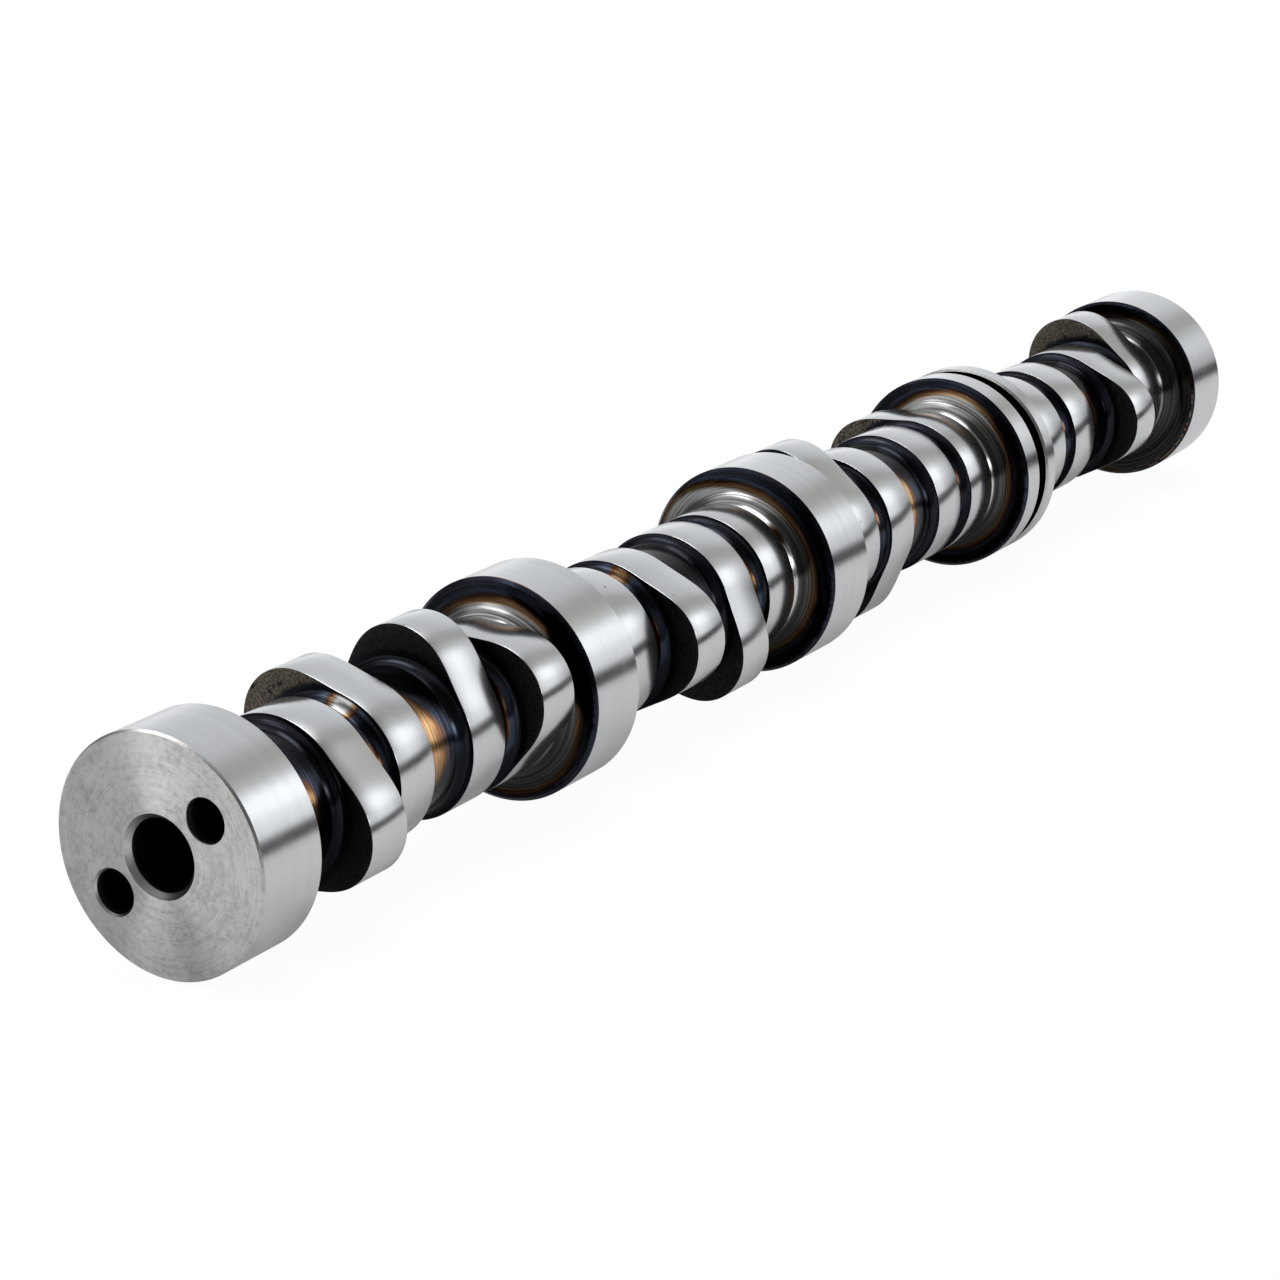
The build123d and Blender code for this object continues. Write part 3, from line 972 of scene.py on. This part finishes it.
class CAMSHAFT_OT_necks(bpy.types.Operator):
    """Builds the necks between neighbouring lobes"""

    bl_idname = "camshaft.necks"
    bl_label = "Necks"

    def execute(self, context):
        sizes = context.scene.camshaft_sizes
        materials = materials_for(context, SHAFT_FINISHES)
        half, low = sizes.lobe_width / MM / 2, lobe_fillet_height(sizes)
        radius = sizes.neck_radius / MM + low
        for ahead, behind in zip(LOBES, LOBES[1:]):
            front, rear = ahead.centre + half, behind.centre - half
            if any(front < start < rear for start, end in JOURNAL_SPANS):
                continue
            straw = STRAW_REACH.get(ahead.name, SHORT_STRAW)
            painted_glint = NECK_PAINTED_GLINT.get(ahead.name, 0.0)
            section, skin = Section(), Skin()
            section.to(front - STUB, 0.0)
            section.to(front - STUB, radius, TINTED)
            neck(section, front, rear, low, sizes, between_lobes, straw, painted_glint)
            section.close(rear + STUB, radius)
            section.grid(skin)
            place_piece(ahead.name.replace("lobe_", "neck_behind_"), skin, materials)
        return {"FINISHED"}


def lobe_outline(sizes):
    """Points and outward normals round a lobe whose nose points along the first axis.

    The raised part is where a roller touches: its centre is at the base circle plus its
    own radius plus the lift.  The lift falls as a sum of powers of the angle, whose
    weights bring it and its first three derivatives to nothing at the heel.
    """
    full, base = sizes.lobe_lift / MM, sizes.base_radius / MM
    wheel = sizes.roller_radius / MM
    turn = np.linspace(-HALF_DURATION, HALF_DURATION, LOBE_FLANK_STEPS)
    share = np.abs(turn) / HALF_DURATION
    lift, slope = np.full_like(share, full), np.zeros_like(share)
    for power in LIFT_EXPONENTS:
        others = np.array([other for other in LIFT_EXPONENTS if other != power], float)
        weight = -full * np.prod(others) / np.prod(others - power)
        lift += weight * share**power
        slope += weight * power * share ** (power - 1) / radians(HALF_DURATION)
    slope *= np.sign(turn)
    roller = base + wheel + lift
    reach = np.hypot(roller, slope)
    flank = roller * (1 - wheel / reach) + 1j * wheel * slope / reach
    facing = (roller - 1j * slope) / reach
    spin = np.exp(1j * np.radians(turn))
    rest = np.linspace(HALF_DURATION, 360 - HALF_DURATION, LOBE_HEEL_STEPS + 2)[1:-1]
    heel = np.exp(1j * np.radians(rest))
    return np.concatenate([flank * spin, base * heel]), np.concatenate([facing * spin, heel])


def lobe_skin(lobe, outline, normals, sizes):
    """A lobe, from side to side: each side is the outline, shrunk in shares to a point.

    The edge between side and track is a quarter round, in along the outline's normals.
    """
    half, edge = sizes.lobe_width / MM / 2, sizes.edge_round / MM
    rows = [(outline - edge * normals) * share for share in LOBE_SIDE_RINGS]
    places = [-half] * len(LOBE_SIDE_RINGS)
    for turn in np.linspace(0, pi / 2, EDGE_STEPS)[::-1]:
        rows.append(outline - edge * (1 - cos(turn)) * normals)
        places.append(-half + edge - edge * sin(turn))
    rows += rows[::-1]
    places += [-place for place in places[::-1]]
    side = [SIDE] * (len(LOBE_SIDE_RINGS) + EDGE_STEPS - 2)
    slots = side + [TRACK] * (len(rows) - 1 - 2 * len(side)) + side
    flat = np.array(rows) * np.exp(1j * radians(lobe.angle))
    along = lobe.centre + np.repeat(np.array(places)[:, None], flat.shape[1], axis=1)
    skin = Skin()
    scale = SCALED_LOBES.get(lobe.name, PLAIN_SCALE)
    skin.grid(np.stack([along, flat.real, flat.imag], axis=-1), slots, scale)
    return skin


class CAMSHAFT_OT_lobes(bpy.types.Operator):
    """Builds the sixteen cam lobes"""

    bl_idname = "camshaft.lobes"
    bl_label = "Lobes"

    def execute(self, context):
        sizes = context.scene.camshaft_sizes
        materials = materials_for(context, LOBE_FINISHES)
        outline, normals = lobe_outline(sizes)
        for lobe in LOBES:
            place_piece(lobe.name, lobe_skin(lobe, outline, normals, sizes), materials)
        return {"FINISHED"}


class CAMSHAFT_OT_dowel(bpy.types.Operator):
    """Builds the dowel that times the gear"""

    bl_idname = "camshaft.dowel"
    bl_label = "Dowel"

    def execute(self, context):
        sizes = context.scene.camshaft_sizes
        places, radii = np.array(DOWEL_OUTLINE).T
        places = places - sizes.nose_length / MM
        skin = Skin()
        skin.grid(revolved(places, radii, DOWEL_CENTRE, HOLE_STEPS), GROUND)
        place_piece("gear_dowel", skin, materials_for(context, DOWEL_FINISHES))
        return {"FINISHED"}


# ---- studio, metres ----
FLOOR_CORNERS = ((-0.9, -1.2), (1.4, -1.2), (1.4, 0.19), (-0.9, 0.19))
FLOOR_GAP = 0.0001
FLOOR_SHADE = 0.8
FLOOR_IN_CAMERA = (0.95, 0.09)  # steady glow, and share of the floor's own shading
FLOOR_IN_METAL = (0.22, 0.68)

# Name, place, target, size and level of each lamp.
LAMPS = (
    ("top_softbox", (-0.15, 0.0, 1.3), (-0.15, 0.0, 0.0), (0.6, 0.9), 1.2),
    ("key_softbox", (0.97, -0.66, 0.92), (0.47, 0.0, 0.0), (0.45, 0.6), 1.8),
)

CAMERA_LENS, CAMERA_PLACE = 97.357, (990.316, 437.413, 267.389)  # mm
CAMERA_TURN = (
    (-0.533804, -0.266825, 0.802407),
    (0.845607, -0.168405, 0.506543),
    (0.0, 0.94893, 0.31548),
)

# Levels of the room's parts, and the tints of its light.
ROOM, ROOM_LEFT, ROOM_LOW_LEFT, ROOM_BELOW, ROOM_FORWARD = 0.52, 0.17, 0.11, 0.35, 0.16
WINDOW, SILL, GLOW, SIDE_WINDOW, SKYLIGHT = 1.0, 0.68, 0.22, 4.2, 2.9
SHUTTER_SHADE, SCREEN_SHADE = 0.75, 0.8
COOL_LIGHT, WARM_LIGHT = (0.98, 0.995, 1.015), (1.0, 1.0, 0.95)
BELOW_FLOOR, TABLE_EDGE, WHITE = (0.95, 0.95, 0.95), (0.02, 0.02, 0.022), (1.0, 1.0, 1.0)


def area_lamp(name, place, target, size, level):
    """Rectangular lamp that shows at the given brightness in a mirror."""
    lamp = bpy.data.lights.new(name, "AREA")
    lamp.shape = "RECTANGLE"
    lamp.size, lamp.size_y = size
    lamp.energy = 4 * level * size[0] * size[1]
    holder = bpy.data.objects.new(name, lamp)
    back = (Vector(place) - Vector(target)).normalized()
    over = back.cross(Vector((1.0, 0.0, 0.0))).normalized()
    turn = Matrix((over.cross(back), over, back)).transposed()
    holder.matrix_world = Matrix.Translation(place) @ turn.to_4x4()
    bpy.context.scene.collection.objects.link(holder)


def studio_world(world):
    """Pale room with one long window, a skylight, and a dark line past the table's edge.

    A shutter on the rear right leaves a narrow side window.
    """
    world.use_nodes = True
    graph = Graph(world.node_tree)
    x, y, z = graph.place("Generated")
    clock, zone = graph.clock(y, z), graph.zone
    room = ROOM + zone((clock, 16.0, -6.0)) * ROOM_LEFT
    room = room + zone((clock, 0.0, -60.0)) * ROOM_LOW_LEFT
    room = room + zone((clock, -50.0, -110.0)) * ROOM_BELOW
    room = room + zone((x, -0.66, -0.90), (clock, 16.0, -20.0)) * ROOM_FORWARD
    shut = zone((x, -0.68, -0.48), (y, 0.0, 0.3))
    screen = zone((y, -0.78, -0.92), (x, -0.35, -0.18))
    side_window = zone((clock, 68.0, 73.0), (clock, 85.0, 80.0)) * SIDE_WINDOW
    side_window = side_window * zone((x, -0.05, -0.3)) * zone((x, -0.56, -0.42))
    room = room * (1.0 - shut * SHUTTER_SHADE) * (1.0 - screen * SCREEN_SHADE)
    room = room + shut * side_window
    room = room + SKYLIGHT * zone(
        (z, 0.69, 0.76), (x, 0.0, -0.20), (x, -0.56, -0.42), (y, -0.42, -0.28), (y, 0.22, 0.10)
    )
    window = zone((clock, 36.0, 52.0), (clock, 69.0, 55.0)) * WINDOW
    sill = zone((clock, 56.0, 66.0), (clock, 88.0, 82.0)) * SILL
    glow = zone((clock, 22.0, 40.0), (clock, 80.0, 60.0)) * GLOW
    open_part = (window + sill) * zone((x, -0.93, -0.76)) + glow
    level = room + open_part * (1.0 - shut)
    warm = zone((clock, 2.0, 12.0), (clock, 44.0, 30.0))
    tint = graph.mix(warm, COOL_LIGHT, WARM_LIGHT)
    level = graph.mix(zone((z, -0.02, 0.02)), BELOW_FLOOR, level)
    edge = zone((z, 0.05, 0.015), (z, -0.135, -0.10), (y, 0.0, 0.2))
    level = graph.mix(edge, level, TABLE_EDGE)
    shade = graph.out(graph.node("VectorMath", {"operation": "MULTIPLY"}, {0: level, 1: tint}))
    seen = graph.out(graph.node("LightPath"), "Is Camera Ray")
    shade = graph.mix(seen, shade, WHITE)
    background = graph.node("Background", inputs={"Color": shade, "Strength": 1.0})
    graph.node("OutputWorld", inputs={"Surface": graph.out(background)})


def diffuse(graph, share):
    """Matt shading of a grey."""
    colour = (share, share, share, 1.0)
    return graph.out(graph.node("BsdfDiffuse", inputs={"Color": colour}))


def shown(graph, glow, share):
    """A steady glow, plus a share of the floor's own shading."""
    light = graph.node("Emission", inputs={"Color": (*WHITE, 1.0), "Strength": glow})
    parts = {0: diffuse(graph, share), 1: graph.out(light)}
    return graph.out(graph.node("AddShader", inputs=parts))


def floor_material():
    """Pale floor: shown white to the camera and in the metal, with its shadow kept."""
    material, graph = new_graph("floor")
    path = graph.node("LightPath")
    mirrored = graph.out(path, "Is Glossy Ray") + graph.out(path, "Is Transmission Ray")
    looks = diffuse(graph, FLOOR_SHADE)
    for seen, part in (
        (mirrored, FLOOR_IN_METAL), (graph.out(path, "Is Camera Ray"), FLOOR_IN_CAMERA)
    ):
        parts = {0: seen, 1: looks, 2: shown(graph, *part)}
        looks = graph.out(graph.node("MixShader", inputs=parts))
    graph.node("OutputMaterial", inputs={"Surface": looks})
    return material


def lay_floor(scene, height):
    """Flat floor at one height."""
    mesh = bpy.data.meshes.new("floor")
    mesh.from_pydata([(*corner, height) for corner in FLOOR_CORNERS], [], [(0, 1, 2, 3)])
    floor = bpy.data.objects.new("floor", mesh)
    floor.data.materials.append(floor_material())
    scene.collection.objects.link(floor)


def set_camera(scene):
    """Camera behind the rear end, above and to the right."""
    camera = bpy.data.cameras.new("camera")
    camera.lens = CAMERA_LENS
    holder = bpy.data.objects.new("camera", camera)
    place = Matrix.Translation(Vector(CAMERA_PLACE) * MM)
    holder.matrix_world = place @ Matrix(CAMERA_TURN).to_4x4()
    scene.collection.objects.link(holder)
    scene.camera = holder


class CAMSHAFT_OT_studio(bpy.types.Operator):
    """Lays the floor, hangs the lamps and sets up the camera"""

    bl_idname = "camshaft.studio"
    bl_label = "Studio"

    def execute(self, context):
        scene = context.scene
        lay_floor(scene, -scene.camshaft_sizes.journal_radius - FLOOR_GAP)
        scene.world = bpy.data.worlds.new("studio")
        studio_world(scene.world)
        for lamp in LAMPS:
            area_lamp(*lamp)
        set_camera(scene)
        scene.view_settings.view_transform = "Standard"
        return {"FINISHED"}


# ---- add-on ----
OPERATORS = (
    CAMSHAFT_OT_journals, CAMSHAFT_OT_necks, CAMSHAFT_OT_lobes, CAMSHAFT_OT_dowel,
    CAMSHAFT_OT_studio,
)


class CAMSHAFT_PT_panel(bpy.types.Panel):
    """Sizes, colours and buttons"""

    bl_label = "Camshaft"
    bl_idname = "CAMSHAFT_PT_panel"
    bl_space_type = "VIEW_3D"
    bl_region_type = "UI"
    bl_category = "Camshaft"

    def draw(self, context):
        for group in (context.scene.camshaft_sizes, context.scene.camshaft_finishes):
            box = self.layout.box()
            for name in group.__annotations__:
                box.prop(group, name)
        for operator in OPERATORS:
            self.layout.operator(operator.bl_idname)


CLASSES = (CamshaftSizes, CamshaftFinishes, *OPERATORS, CAMSHAFT_PT_panel)


def register():
    for item in CLASSES:
        bpy.utils.register_class(item)
    bpy.types.Scene.camshaft_sizes = PointerProperty(type=CamshaftSizes)
    bpy.types.Scene.camshaft_finishes = PointerProperty(type=CamshaftFinishes)


def unregister():
    del bpy.types.Scene.camshaft_finishes
    del bpy.types.Scene.camshaft_sizes
    for item in reversed(CLASSES):
        bpy.utils.unregister_class(item)


def main():
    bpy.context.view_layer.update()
    register()
    bpy.ops.camshaft.journals()
    bpy.ops.camshaft.necks()
    bpy.ops.camshaft.lobes()
    bpy.ops.camshaft.dowel()
    bpy.ops.camshaft.studio()


if __name__ == "__main__":
    main()
